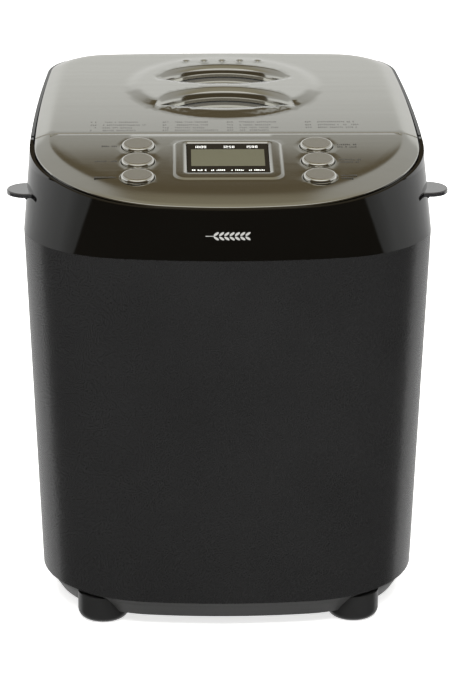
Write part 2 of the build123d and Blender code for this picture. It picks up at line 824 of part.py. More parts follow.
def wiring_harness():
    """Loom from the power board up to the control board."""
    points = [(-48, -123, 42.2), (-48, -123, 250), (-48, -90, 268), (-48, -90, 291)]
    path = FilletPolyline(*points, radius=9)
    start = Plane(points[0], z_dir=(0, 0, 1))
    return sweep(start * Circle(3), path)


# ---------------------------------------------------------------- bread pan
def pan_section(half, z, corner):
    """Rounded rectangular wire of the pan."""
    return (Pos(0, chamber_center, z) * RectangleRounded(2 * half[0], 2 * half[1], corner)).wire()


def pan_volume(wall, bottom, top):
    """Tapered body of the pan between two heights, made smaller by a wall."""
    def half(z):
        share = (z - pan_bottom_z) / (pan_top_z - pan_bottom_z)
        return [low + share * (high - low) - wall for low, high in zip(pan_bottom_half, pan_top_half)]

    sections = [pan_section(half(z), z, pan_corner - wall) for z in (bottom, top)]
    return Part() + Solid.make_loft(sections, ruled=True)


def pan_rim_plate():
    """Filled plan of the rim round the pan's mouth."""
    half = [size + pan_rim for size in pan_top_half]
    return rounded_tube(half, chamber_center, pan_top_z - 2, pan_top_z, pan_corner + pan_rim)


def bread_pan():
    """Tapered pan with a rim, a foot ring that stands in the socket and two lugs for the bail."""
    pan = pan_volume(0, pan_bottom_z, pan_top_z)
    pan += pan_rim_plate()
    pan -= pan_volume(pan_wall, pan_bottom_z + 2, pan_top_z + 1)
    foot = post(0, chamber_center, 66, pan_bottom_z + 1, pan_ring_radius)
    pan += foot - post(0, chamber_center, 60, pan_bottom_z, pan_ring_radius - 3.5)
    pan -= post(0, chamber_center, 80, 100, 11)
    for lug in pan_lugs():
        pan += lug
    return pan


def pan_bushing():
    """Sealed bearing of the pan's shaft."""
    bearing = post(0, chamber_center, 80, 97, 11) + post(0, chamber_center, 84, pan_bottom_z, 16)
    return bearing - post(0, chamber_center, 70, 110, shaft_radius + running_gap)


def pan_shaft():
    """Shaft through the pan's floor, with a retaining ring and a flat for the paddle."""
    shaft = post(0, chamber_center, 77, 118, shaft_radius)
    shaft -= block(2.8, 6, chamber_center - 6, chamber_center + 6, 98.2, 120)
    return shaft + post(0, chamber_center, 97.1, 98.2, 6.5)


def wing_coupling():
    """Winged end that the driving dogs push."""
    bar = block(-2.5, 2.5, chamber_center - 13, chamber_center + 13, 71, 77)
    return bar + post(0, chamber_center, 71, 77, 4)


def kneading_paddle():
    """Removable paddle with a curved blade."""
    hub = post(0, chamber_center, 98.4, 122, 9)
    blade = block(6, 50, chamber_center - 1.8, chamber_center + 1.8, 98.4, 126)
    blade -= Pos(58, chamber_center, 138) * Rot(90, 0, 0) * Cylinder(24, 10)
    paddle = hub + blade
    bore = post(0, chamber_center, 90, 119, shaft_radius + running_gap)
    bore -= block(2.8 + running_gap, 8, chamber_center - 8, chamber_center + 8, 80, 130)
    return paddle - bore


def pan_lugs():
    """Ears on the pan's ends that carry the bail."""
    ear = block(96, 101.6, chamber_center - 8, chamber_center + 8, 222, bail_z + 6)
    ear -= pan_volume(0, 150, pan_top_z)
    ear -= pan_rim_plate()
    ear -= block(90, 98.4, 0, 150, pan_top_z, 260)
    ear += rod_x(101, 108, chamber_center, bail_z, bail_pin_radius)
    solid = max(ear.solids(), key=lambda piece: piece.volume)
    return mirrored(Part() + solid)


def pan_handle():
    """Bail that folds flat on the rim."""
    corner = 10
    points = [(bail_x, chamber_center, bail_z), (bail_x, chamber_center + bail_length, bail_z),
              (-bail_x, chamber_center + bail_length, bail_z), (-bail_x, chamber_center, bail_z)]
    path = FilletPolyline(*points, radius=corner)
    start = Plane(points[0], z_dir=(0, 1, 0))
    bail = sweep(start * Circle(bail_radius), path)
    for eye in mirrored(rod_x(bail_x - 2.2, bail_x + 2.2, chamber_center, bail_z, 6)):
        bail += eye
    for bore in mirrored(rod_x(100, 110, chamber_center, bail_z, bail_pin_radius + running_gap)):
        bail -= bore
    return bail


# ---------------------------------------------------------------- all sub-parts
def all_nodes():
    """Every node's name and its solids."""
    nodes = {
        "base_tray": base_tray(),
        "rubber_feet": rubber_feet(),
        "lower_shell": lower_shell(),
        "upper_collar": upper_collar(),
        "side_grip_left": side_grip(-1),
        "side_grip_right": side_grip(1),
        "top_deck": top_deck(),
        "cord_gland": cord_gland(),
        "control_panel": control_panel(),
        "lcd_frame": lcd_frame(),
        "lcd_lens": lcd_lens(),
        "lcd_module": lcd_module(),
        "control_pcb": control_pcb(),
        "tact_switches": tact_switches(),
        "panel_screws": panel_screws(),
        "lid_skin": lid_skin(),
        "window_trims": window_trims(),
        "window_gaskets": window_gaskets(),
        "window_glass": window_glass(),
        "lid_frame": lid_frame(),
        "lid_liner": lid_liner(),
        "lid_seal": lid_seal(),
        "lid_screws": lid_screws(),
        "hinge_pins": hinge_pins(),
        "hinge_brackets": hinge_brackets(),
        "baking_chamber": baking_chamber(),
        "heating_element": heating_element(),
        "element_bushings": element_bushings(),
        "temperature_sensors": temperature_sensors(),
        "pan_socket": pan_socket(),
        "heat_shield": heat_shield(),
        "chassis_plate": chassis_plate(),
        "housing_screws": chassis_screws() + base_screws(),
        "drive_bearing": drive_bearing(),
        "drive_shaft": drive_shaft(),
        "drive_pulley": pulley(chamber_center, drive_pulley_radius, shaft_radius, 10),
        "drive_coupling": drive_coupling(),
        "drive_belt": drive_belt(),
        "motor_stator": motor_stator(),
        "motor_windings": motor_windings(),
        "motor_brackets": motor_brackets(),
        "motor_rotor": motor_rotor(),
        "motor_pulley": pulley(motor_y, motor_pulley_radius, motor_shaft_radius, 6),
        "motor_mounts": motor_mounts(),
        "power_pcb": power_pcb(),
        "transformer": transformer(),
        "motor_capacitor": motor_capacitor(),
        "wiring_harness": wiring_harness(),
        "bread_pan": bread_pan(),
        "pan_bushing": pan_bushing(),
        "pan_shaft": pan_shaft(),
        "wing_coupling": wing_coupling(),
        "kneading_paddle": kneading_paddle(),
        "pan_handle": pan_handle(),
    }
    for name, x, y in button_places():
        nodes[name] = button(x, y)
    return nodes


def solids_of(shape):
    """Separate solids of a part or a list of parts."""
    pieces = shape if isinstance(shape, list) else [shape]
    return [solid for piece in pieces for solid in piece.solids()]


os.makedirs("parts", exist_ok=True)
for node_name, node_shape in all_nodes().items():
    export_step(Compound(children=solids_of(node_shape)), f"parts/{node_name}.step")
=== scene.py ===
# Looks of the bread machine: smooth lid and panel, keys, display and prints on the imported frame.

import json
from collections import namedtuple
from math import atan2, cos, exp, hypot, log, pi, radians, sin, sqrt, tan
from random import Random

import bmesh
import bpy
from mathutils import Matrix, Vector
from mathutils.geometry import delaunay_2d_cdt


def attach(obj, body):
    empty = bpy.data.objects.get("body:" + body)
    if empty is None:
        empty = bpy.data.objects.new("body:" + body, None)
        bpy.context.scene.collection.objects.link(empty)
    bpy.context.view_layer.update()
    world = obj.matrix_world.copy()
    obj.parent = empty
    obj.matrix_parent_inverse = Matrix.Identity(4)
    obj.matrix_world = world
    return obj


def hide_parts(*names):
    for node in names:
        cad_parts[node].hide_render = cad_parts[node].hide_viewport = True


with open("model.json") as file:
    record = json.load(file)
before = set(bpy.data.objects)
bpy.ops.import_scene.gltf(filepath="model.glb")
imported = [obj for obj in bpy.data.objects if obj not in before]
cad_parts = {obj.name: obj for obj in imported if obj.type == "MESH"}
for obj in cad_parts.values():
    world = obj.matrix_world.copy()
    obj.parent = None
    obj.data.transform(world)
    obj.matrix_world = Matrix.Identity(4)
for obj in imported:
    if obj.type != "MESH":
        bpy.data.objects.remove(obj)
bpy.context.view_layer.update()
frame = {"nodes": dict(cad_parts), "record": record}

# ---------------------------------------------- driving dimensions, in millimetres as in the CAD
MM = 0.001
Outline = namedtuple("Outline", "half_width front rear front_radius front_corner rear_corner")

SPLIT_Y = -40.6
SPLIT_Z = 315.4
LID_RISE = tan(radians(3.95))
PANEL_ANGLE = radians(9.03)
PANEL_FALL = tan(PANEL_ANGLE)
PANEL_ALONG = cos(PANEL_ANGLE)      # plan length of one millimetre down the panel
SIDE_RADIUS = 2125.0
REAR_RADIUS = 1226.0
WIDEST_Y = -26.6

SEAM_Z = 261.6
COLLAR_MID_Z = 300.0
SEAM = Outline(137.5, -166.4, 166.4, 398.0, 78.0, 45.0)
COLLAR_MID = Outline(134.5, -153.96, 166.2, 347.0, 102.5, 45.0)
PLATE_RIM = Outline(130.3, -153.2, 163.4, 345.0, 100.0, 43.0)
PLATE_CROWN = Outline(121.3, -135.2, 154.4, 336.0, 91.0, 34.0)

BEVEL_DROP = 3.5
BEVEL_SOFTNESS = 0.18               # rounding where the bevel meets the flat, as a share of its width
SPLIT_GAP = 0.4
EDGE_ROUND = 0.8
MERGE = 0.02                        # points closer than this become one
MESH_STEP = 4.0
LID_LENGTH = 204.0
PANEL_LENGTH = 112.6
LID_CROWN = 0.6
PANEL_CROWN = 0.9

# half length, near edge, ends and far edge of each slot, the last three measured behind the split
SLOTS = [(47.0, 51.0, 62.0, 95.0), (46.0, 111.0, 126.0, 154.5)]
SLOT_DEPTH = 5.6
BOSS_CENTER = 110.0
BOSS_HALF = (69.0, 75.0)
BOSS_FRONT = 2.4
BOSS_REAR = 0.4
BOSS_FRONT_DEPTH = 35.0
BOSS_LENGTH = 150.0
BOSS_SLOPE = 0.10                  # width of its slope, as a share of its half size
VENT_PITCH = 13.2
VENT_Y = 171.0
VENT_HALF = (1.8, 2.5)
VENT_BORDER = 1.6

BUTTON_X = 60.0
BUTTON_FIRST = 23.5
BUTTON_PITCH = 26.0
BUTTON_RADIUS = 11.0
SURROUND_HALF = 37.0               # frame round the display: outer half width and its two ends down the slope
SURROUND_TOP = 14.5
SURROUND_BOTTOM = 81.0
LCD_HALF = 27.35
LCD_TOP = 19.0
LCD_BOTTOM = 68.0
DISPLAY_TOP = 29.0                 # the pale window, down the slope
DISPLAY_BOTTOM = 57.0
DISPLAY_HALF = 24.5
DISPLAY_LIFT = 0.56
EAR_Z = 277.0


# ---------------------------------------------- outlines, as in the CAD
def corner_center(first, first_reach, second, second_reach, pick):
    """Centre of a corner arc that lies inside two large arcs and touches both."""
    dx = second[0] - first[0]
    dy = second[1] - first[1]
    gap = hypot(dx, dy)
    along = (first_reach**2 - second_reach**2 + gap**2) / (2 * gap)
    off = sqrt(first_reach**2 - along**2)
    both = [(first[0] + (along * dx - s * off * dy) / gap, first[1] + (along * dy + s * off * dx) / gap)
            for s in (1, -1)]
    return pick(both, key=lambda point: point[1])


def between(first, second, share):
    """Outline part of the way from one to another."""
    return Outline(*[a + share * (b - a) for a, b in zip(first, second)])


def arc(center, radius, start, end, count):
    """Points along an arc between two angles."""
    return [(center[0] + radius * cos(start + (end - start) * i / count),
             center[1] + radius * sin(start + (end - start) * i / count)) for i in range(count + 1)]


class HalfOutline:
    """Right half of an outline, split into its arcs."""

    def __init__(self, outline, inset=0.0):
        self.front_center = (0.0, outline.front + outline.front_radius)
        self.front_radius = outline.front_radius - inset
        self.back_center = (0.0, outline.rear - REAR_RADIUS)
        self.back_radius = REAR_RADIUS - inset
        self.side_center = (outline.half_width - SIDE_RADIUS, WIDEST_Y)
        self.side = SIDE_RADIUS - inset
        self.front_corner = outline.front_corner - inset
        self.rear_corner = outline.rear_corner - inset
        self.front_knee = corner_center(self.front_center, self.front_radius - self.front_corner,
                                        self.side_center, self.side - self.front_corner, min)
        self.rear_knee = corner_center(self.back_center, self.back_radius - self.rear_corner,
                                       self.side_center, self.side - self.rear_corner, max)

    def angle(self, center, knee):
        return atan2(knee[1] - center[1], knee[0] - center[0])

    def front_arc(self, count):
        """From the middle of the front to the corner."""
        end = self.angle(self.front_center, self.front_knee)
        return arc(self.front_center, self.front_radius, -pi / 2, end, count)

    def front_bend(self, count):
        start = self.angle(self.front_center, self.front_knee)
        end = self.angle(self.side_center, self.front_knee)
        return arc(self.front_knee, self.front_corner, start, end, count)

    def flank(self, y0, y1, count):
        """Side arc between two places along Y; None stands for the end of the arc."""
        start = self.angle(self.side_center, self.front_knee)
        end = self.angle(self.side_center, self.rear_knee)
        if y0 is not None:
            start = (y0 - WIDEST_Y) / self.side
        if y1 is not None:
            end = (y1 - WIDEST_Y) / self.side
        return arc(self.side_center, self.side, start, end, count)

    def rear_bend(self, count):
        start = self.angle(self.side_center, self.rear_knee)
        end = self.angle(self.back_center, self.rear_knee)
        return arc(self.rear_knee, self.rear_corner, start, end, count)

    def rear_arc(self, count):
        """From the corner to the middle of the back."""
        start = self.angle(self.back_center, self.rear_knee)
        return arc(self.back_center, self.back_radius, start, pi / 2, count)


def joined(*runs):
    """One list of points from runs that share their end points."""
    points = []
    for run in runs:
        points += run[1:] if points else run
    return points


def both_sides(right):
    """Right half from its first point, then the left half back: an open path through the middle."""
    left = [(-x, y) for x, y in reversed(right)]
    return right + left[1:]


def rear_path(outline, y0, inset=0.0):
    """Path round the lid, from the right end of the split to the left end."""
    half = HalfOutline(outline, inset)
    return both_sides(joined(half.flank(y0, None, 26), half.rear_bend(22), half.rear_arc(14)))


def front_path(outline, y0, inset=0.0):
    """Path round the panel, from the right end of the split to the left end."""
    half = HalfOutline(outline, inset)
    right = joined(half.front_arc(16), half.front_bend(26), half.flank(None, y0, 12))
    return both_sides(right[::-1])


# ---------------------------------------------- mesh helpers
def make_piece(name, bm, body, material, replaces=()):
    """Object from a bmesh, smooth shaded, riding on a body."""
    mesh = bpy.data.meshes.new(name)
    bmesh.ops.recalc_face_normals(bm, faces=bm.faces)
    bm.to_mesh(mesh)
    bm.free()
    mesh.materials.append(material)
    piece = bpy.data.objects.new(name, mesh)
    bpy.context.collection.objects.link(piece)
    mesh.shade_smooth()
    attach(piece, body)
    if replaces:
        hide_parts(*replaces)
    return piece


def add_row(bm, points):
    """Vertices from points in millimetres."""
    return [bm.verts.new(Vector(point) * MM) for point in points]


def bridge(bm, first, second, closed=False):
    """Quads between two rows of the same length."""
    count = len(first)
    for i in range(count if closed else count - 1):
        j = (i + 1) % count
        quad = [first[i], first[j], second[j], second[i]]
        if len(set(quad)) == 4:
            bm.faces.new(quad)


def skin_rows(bm, rows, closed=False):
    """Surface through rows of points."""
    made = [add_row(bm, row) for row in rows]
    for first, second in zip(made, made[1:]):
        bridge(bm, first, second, closed)
    return made


def sharpen(piece, degrees=35):
    """Smooth shading that keeps edges sharper than an angle."""
    piece.data.shade_smooth()
    piece.data.set_sharp_from_angle(angle=radians(degrees))


def inside(point, loop):
    """True if a point lies inside a closed loop."""
    x, y = point
    hit = False
    for (x0, y0), (x1, y1) in zip(loop, loop[1:] + loop[:1]):
        if (y0 > y) != (y1 > y) and x < x0 + (y - y0) * (x1 - x0) / (y1 - y0):
            hit = not hit
    return hit


def clearance(point, loop):
    """Distance from a point to the nearest point of a loop."""
    return min(hypot(point[0] - x, point[1] - y) for x, y in loop)


def fill(bm, outer, holes, height, step):
    """Fine triangulated surface inside a loop and outside the holes, at a height function."""
    xs = [x for x, _ in outer]
    ys = [y for _, y in outer]
    points = []
    edges = []
    for loop in [outer] + holes:
        first = len(points)
        points += loop
        edges += [(first + i, first + (i + 1) % len(loop)) for i in range(len(loop))]
    border = list(points)
    rows = int((max(ys) - min(ys)) / step)
    columns = int((max(xs) - min(xs)) / step)
    for row in range(rows + 1):
        for column in range(columns + 1):
            point = (min(xs) + (column + 0.5 * (row % 2)) * step, min(ys) + row * step)
            if inside(point, outer) and not any(inside(point, hole) for hole in holes):
                if clearance(point, border) > 0.6 * step:
                    points.append(point)
    result = delaunay_2d_cdt([Vector(point) for point in points], edges, [], 0, 1e-5)
    flat = [(v.x, v.y) for v in result[0]]
    verts = add_row(bm, [(x, y, height(x, y)) for x, y in flat])
    for corners in result[2]:
        middle = (sum(flat[i][0] for i in corners) / 3, sum(flat[i][1] for i in corners) / 3)
        if inside(middle, outer) and not any(inside(middle, hole) for hole in holes):
            bm.faces.new([verts[i] for i in corners])


def soft_step(value):
    """Smooth rise from 0 to 1."""
    value = max(0.0, min(1.0, value))
    return value * value * (3 - 2 * value)


def eased(value, ease=0.18):
    """Straight rise from 0 to 1 with rounded ends."""
    value = max(0.0, min(1.0, value))
    if value < ease:
        return value**2 / (2 * ease * (1 - ease))
    if value > 1 - ease:
        return 1 - (1 - value) ** 2 / (2 * ease * (1 - ease))
    return (value - ease / 2) / (1 - ease)


# ---------------------------------------------- shape of the silver top
def bevel(share):
    """Drop towards the rim: share is 0 at the rim and 1 at the inner end of the bevel."""
    return -BEVEL_DROP * BEVEL_SOFTNESS * log(1 + exp((1 - share) / BEVEL_SOFTNESS))


def boss(x, depth):
    """Oval rise round the slots; depth is the distance behind the split."""
    reach = hypot(x / BOSS_HALF[0], (depth - BOSS_CENTER) / BOSS_HALF[1])
    high = BOSS_FRONT + (BOSS_REAR - BOSS_FRONT) * (depth - BOSS_FRONT_DEPTH) / BOSS_LENGTH
    return high * eased((1 - reach) / BOSS_SLOPE)


def lid_height(x, y):
    """Top surface of the lid without its bevel."""
    depth = y - SPLIT_Y
    share = depth / LID_LENGTH
    return SPLIT_Z + LID_RISE * depth + 4 * LID_CROWN * share * (1 - share) + boss(x, depth)


def panel_height(x, y):
    """Top surface of the control panel without its bevel."""
    depth = SPLIT_Y - y
    share = depth / PANEL_LENGTH
    return SPLIT_Z - PANEL_FALL * depth + 4 * PANEL_CROWN * share * (1 - share)


# places of the rim's rows across the bevel: 0 at the rim, 1 where the bevel ends, the last on the flat
RIM_SHARES = (0.0, 0.0, 0.015, 0.05, 0.2, 0.4, 0.6, 0.75, 0.85, 0.93, 1.0, 1.07, 1.15, 1.25, 1.4)
RIM_EXTRAS = (-1.6, -0.42, -0.1)          # the rolled edge under the rim


FLAT_DROP = bevel(RIM_SHARES[-1])          # what is left of the bevel's drop on the flat


def rim_row(path, y0, height, level):
    """One row of the rim: a path at a share of the bevel, lifted to the surface."""
    share = RIM_SHARES[level]
    extra = RIM_EXTRAS[level] if level < len(RIM_EXTRAS) else 0.0
    points = path(between(PLATE_RIM, PLATE_CROWN, share), y0)
    return [(x, y, height(x, y) + bevel(share) + extra) for x, y in points]


def split_roll(rows, inner_edge, sign):
    """Rows that roll the split edge down; sign is the side that the edge faces."""
    across = [row[0] for row in rows] + inner_edge + [row[-1] for row in reversed(rows)]
    angles = [radians(degrees) for degrees in (0, 18, 36, 54, 72, 90)]
    turns = [(EDGE_ROUND * sin(angle), -EDGE_ROUND * (1 - cos(angle))) for angle in angles]
    turns.append((EDGE_ROUND, -4.5))
    return [[(x, y + sign * dy, z + dz) for x, y, z in across] for dy, dz in turns]


def plate(path, y0, sign, height, holes, step):
    """Bevelled silver plate: rim rows, filled middle, rolled split edge."""
    bm = bmesh.new()
    rows = [rim_row(path, y0, height, level) for level in range(len(RIM_SHARES))]
    skin_rows(bm, rows)
    inner = [(x, y) for x, y, _ in rows[-1]]
    count = 60
    right, left = inner[0], inner[-1]
    edge = [(left[0] + (right[0] - left[0]) * i / count, y0) for i in range(1, count)]
    fill(bm, inner + edge, holes, lambda x, y: height(x, y) + FLAT_DROP, step)
    inner_edge = [(x, y, height(x, y) + FLAT_DROP) for x, y in reversed(edge)]
    skin_rows(bm, split_roll(rows, inner_edge, sign))
    bmesh.ops.remove_doubles(bm, verts=bm.verts, dist=MERGE * MM)
    return bm


# ---------------------------------------------- window slots
def lens_loop(slot, grow, count=40):
    """Lens outline of two arcs, grown evenly; the depths are measured from the split."""
    half, near, ends, far = slot
    near_radius = (half**2 + (ends - near) ** 2) / (2 * (ends - near))
    far_radius = (half**2 + (far - ends) ** 2) / (2 * (far - ends))
    near_center = near + near_radius
    far_center = far - far_radius
    near_radius += grow
    far_radius += grow
    span = near_center - far_center
    meet = (near_radius**2 - far_radius**2 + span**2) / (2 * span)
    tip = sqrt(near_radius**2 - meet**2)
    near_turn = atan2(tip, meet)
    far_turn = atan2(tip, span - meet) if span > meet else pi - atan2(tip, meet - span)
    front = arc((0, near_center + SPLIT_Y), near_radius, -pi / 2 - near_turn, -pi / 2 + near_turn, count)
    back = arc((0, far_center + SPLIT_Y), far_radius, pi / 2 - far_turn, pi / 2 + far_turn, count)
    return front + back[1:-1]


WALL_DROPS = (0.0, 0.06, 0.28, 0.88, 1.40, 1.70, 2.10, 2.65, 3.2, 3.6, 4.6, SLOT_DEPTH)
# how far the edge stands outside the slot at each drop: wide hollow on the far side, tight roll on the near
FAR_EDGE = (6.8, 6.2, 5.4, 3.6, 2.25, 1.85, 1.5, 1.13, 0.88, 0.73, 0.36, 0.0)
NEAR_EDGE = (1.9, 1.75, 1.5, 1.15, 0.85, 0.65, 0.42, 0.2, 0.06, 0.0, 0.0, 0.1)
TIP_BLEND = 0.22                    # share of the far side over which one edge turns into the other


def edge_loop(slot, level, count=40):
    """Outline of the slot's edge at one level: the near side's width in front, the far side's behind."""
    near = lens_loop(slot, NEAR_EDGE[level], count)
    far = lens_loop(slot, FAR_EDGE[level], count)
    loop = []
    for index, (first, second) in enumerate(zip(near, far)):
        along = (index - count) / count
        share = soft_step(min(along, 1 - along) / TIP_BLEND)
        loop.append((first[0] + share * (second[0] - first[0]), first[1] + share * (second[1] - first[1])))
    return loop


def slot_plane(y, below):
    """Height of a plane parallel to the lid at a depth below it."""
    return SPLIT_Z + LID_RISE * (y - SPLIT_Y) - below


def slot_walls(bm, slot):
    """Rolled edge and wall of one slot, down to a plane parallel to the lid."""
    rows = []
    for level, drop in enumerate(WALL_DROPS):
        share = drop / SLOT_DEPTH
        row = []
        for x, y in edge_loop(slot, level):
            top = lid_height(x, y) + FLAT_DROP
            row.append((x, y, top + share * (slot_plane(y, SLOT_DEPTH) - top)))
        rows.append(row)
    skin_rows(bm, rows, closed=True)


def vent_loop(index, count=24):
    """Rounded slot of one steam vent."""
    half_x, half_y = VENT_HALF
    center = ((index - 2) * VENT_PITCH, VENT_Y + SPLIT_Y)
    return [(center[0] + half_x * cos(2 * pi * i / count), center[1] + half_y * sin(2 * pi * i / count))
            for i in range(count)]


def grown(loop, amount):
    """A small loop scaled out from its middle by about an amount."""
    cx = sum(x for x, _ in loop) / len(loop)
    cy = sum(y for _, y in loop) / len(loop)
    return [(x + amount * (x - cx) / hypot(x - cx, y - cy), y + amount * (y - cy) / hypot(x - cx, y - cy))
            for x, y in loop]


def vent_walls(bm, loop):
    """Rounded edge and funnel of one vent."""
    profile = ((VENT_BORDER, 0.0), (1.2, 0.05), (0.95, -0.05), (0.8, -0.3), (0.5, -0.45), (-0.9, -1.8),
               (-1.0, -2.6))
    rows = [[(x, y, lid_height(x, y) + FLAT_DROP + lift) for x, y in grown(loop, grow)]
            for grow, lift in profile]
    skin_rows(bm, rows, closed=True)


def build_lid_skin(material):
    """Silver lid skin with the oval rise, the slots and the vents."""
    y0 = SPLIT_Y + SPLIT_GAP + EDGE_ROUND
    vents = [vent_loop(index) for index in range(5)]
    holes = [edge_loop(slot, 0) for slot in SLOTS] + [grown(vent, VENT_BORDER) for vent in vents]
    bm = plate(rear_path, y0, -1, lid_height, holes, MESH_STEP)
    for slot in SLOTS:
        slot_walls(bm, slot)
    for vent in vents:
        vent_walls(bm, vent)
    bmesh.ops.remove_doubles(bm, verts=bm.verts, dist=MERGE * MM)
    make_piece("lid_skin_smooth", bm, "lid", material, ("lid_skin",))


# ---------------------------------------------- control panel
def rounded_loop(half_x, y0, y1, corner, count=8):
    """Closed rounded rectangle between two depths in front of the split."""
    top, bottom = SPLIT_Y - y0, SPLIT_Y - y1
    centers = ((half_x - corner, top - corner), (corner - half_x, top - corner),
               (corner - half_x, bottom + corner), (half_x - corner, bottom + corner))
    points = []
    for center, start in zip(centers, (0, pi / 2, pi, 3 * pi / 2)):
        points += arc(center, corner, start, start + pi / 2, count)
    return points


def button_centers():
    """Label and plan place of each key."""
    rows = [SPLIT_Y - (BUTTON_FIRST + BUTTON_PITCH * row) * PANEL_ALONG for row in range(3)]
    return [(f"{side}_{row + 1}", sign * BUTTON_X, y)
            for side, sign in (("left", -1), ("right", 1)) for row, y in enumerate(rows)]


def ring_loop(cx, cy, radius, count=48):
    """Circle as a loop."""
    turns = [2 * pi * i / count for i in range(count)]
    return [(cx + radius * cos(turn), cy + radius * sin(turn)) for turn in turns]


# radius and drop of the rolled edge of a key hole
HOLE_PROFILE = ((12.3, 0.0), (12.0, -0.04), (11.75, -0.14), (11.55, -0.32), (11.5, -0.6), (11.5, -2.5))
# half width, lift and corner radius of the display surround, from its foot over the flat to the glass
SURROUND_STEPS = ((SURROUND_HALF, 0.0, 9.0), (36.6, 0.04, 8.6), (35.9, 0.3, 7.9), (35.2, 0.72, 7.2),
                  (34.6, 0.86, 6.6), (34.0, 0.9, 6.0), (30.4, 0.9, 4.0), (29.6, 0.85, 3.4), (28.9, 0.6, 2.8),
                  (28.0, -0.1, 2.0), (27.4, -0.3, 1.6), (LCD_HALF, -1.6, 1.6))


def surround_loop(half_x, corner):
    """Outline of the display surround where it has this half width."""
    share = (SURROUND_HALF - half_x) / (SURROUND_HALF - LCD_HALF)
    near = (SURROUND_TOP + share * (LCD_TOP - SURROUND_TOP)) * PANEL_ALONG
    away = (SURROUND_BOTTOM + share * (LCD_BOTTOM - SURROUND_BOTTOM)) * PANEL_ALONG
    return rounded_loop(half_x, near, away, corner)


def build_panel(material):
    """Silver control panel with rolled key holes and the stepped display surround."""
    y0 = SPLIT_Y - SPLIT_GAP - EDGE_ROUND
    holes = [ring_loop(x, y, HOLE_PROFILE[0][0]) for _, x, y in button_centers()]
    holes.append(surround_loop(SURROUND_HALF, SURROUND_STEPS[0][2]))
    bm = plate(front_path, y0, 1, panel_height, holes, MESH_STEP)
    for _, x, y in button_centers():
        rows = [[(px, py, panel_height(px, py) + FLAT_DROP + drop) for px, py in ring_loop(x, y, radius)]
                for radius, drop in HOLE_PROFILE]
        skin_rows(bm, rows, closed=True)
    rows = [[(x, y, panel_height(x, y) + FLAT_DROP + lift) for x, y in surround_loop(half_x, corner)]
            for half_x, lift, corner in SURROUND_STEPS]
    skin_rows(bm, rows, closed=True)
    bmesh.ops.remove_doubles(bm, verts=bm.verts, dist=MERGE * MM)
    replaced = ("control_panel", "lcd_frame")
    make_piece("control_panel_smooth", bm, "housing", material, replaced)


# ---------------------------------------------- keys
def panel_matrix(x, y, lift=0.0):
    """Frame on the panel: local Z is the panel's normal."""
    normal = Vector((0, -sin(PANEL_ANGLE), cos(PANEL_ANGLE)))
    along = Vector((0, cos(PANEL_ANGLE), sin(PANEL_ANGLE)))
    depth = SPLIT_Y - y
    origin = Vector((x, y, SPLIT_Z - PANEL_FALL * depth)) + normal * lift
    return Matrix(((1, along.x, normal.x, origin.x * MM), (0, along.y, normal.y, origin.y * MM),
                   (0, along.z, normal.z, origin.z * MM), (0, 0, 0, 1)))


# radius and height of a key, from its foot over the shoulder to the middle
KEY_PROFILE = ((BUTTON_RADIUS, -5.0), (BUTTON_RADIUS, 0.6), (10.95, 1.25), (10.75, 1.9), (10.35, 2.45),
               (9.85, 2.78), (9.4, 2.9), (9.0, 2.93), (8.6, 2.93), (6.0, 2.93), (3.0, 2.93), (0.8, 2.93))


def build_key(label, x, y, material):
    """Turned key with a rounded shoulder and a flat spun top."""
    bm = bmesh.new()
    place = panel_matrix(x, y)
    rows = []
    for radius, lift in KEY_PROFILE:
        ring = [Vector((px * MM, py * MM, lift * MM)) for px, py in ring_loop(0, 0, radius, 64)]
        rows.append([tuple(place @ point / MM) for point in ring])
    made = skin_rows(bm, rows, closed=True)
    bm.faces.new(made[-1])
    bm.faces.new(made[0])
    layer = bm.loops.layers.uv.new("spin")
    inverse = place.inverted()
    for face in bm.faces:
        for loop in face.loops:
            local = inverse @ loop.vert.co / MM
            loop[layer].uv = (hypot(local.x, local.y) / BUTTON_RADIUS, 0.5)
    piece = make_piece(f"key_cap_{label}", bm, f"key_{label}", material, (f"button_{label}",))
    sharpen(piece, 60)
    return piece


# ---------------------------------------------- prints and display
PRINT_LIFT = 0.05
PROGRAM_COLUMNS = ((-93.0, 4), (-43.5, 4), (0.7, 4), (54.5, 3))     # left end and rows of each list column
PROGRAM_ROWS = (24.5, 18.2, 12.4, 6.8)                              # distance behind the split
LABEL_WIDTHS = ((11.0, 16.0), (15.0, 16.0), (15.0, 11.0))           # key labels in each row: left, right


def add_marks(bm, marks, surface_point):
    """Flat rectangles, given by two corners, laid on a surface."""
    for x0, y0, x1, y1 in marks:
        corners = [surface_point(x, y) for x, y in ((x0, y0), (x1, y0), (x1, y1), (x0, y1))]
        bm.faces.new([bm.verts.new(Vector(corner) * MM) for corner in corners])


def word(x, y, width, height, chance, pitch=1.35):
    """Row of small blocks that stands for a printed word."""
    marks = []
    step = 0
    while (step + 1) * pitch < width:
        left = x + step * pitch
        if chance.random() > 0.12:
            low = y - height / 2 + (0.0 if chance.random() > 0.25 else height * 0.3)
            marks.append((left, low, left + pitch * chance.uniform(0.55, 0.75), y + height / 2))
        step += 1
    return marks


def on_lid(x, depth):
    """Point just above the lid, from the distance behind the split."""
    y = SPLIT_Y + depth
    return x, y, lid_height(x, y) + FLAT_DROP + PRINT_LIFT


def on_panel(x, depth):
    """Point just above the panel, from the distance in front of the split."""
    y = SPLIT_Y - depth
    return x, y, panel_height(x, y) + FLAT_DROP + PRINT_LIFT


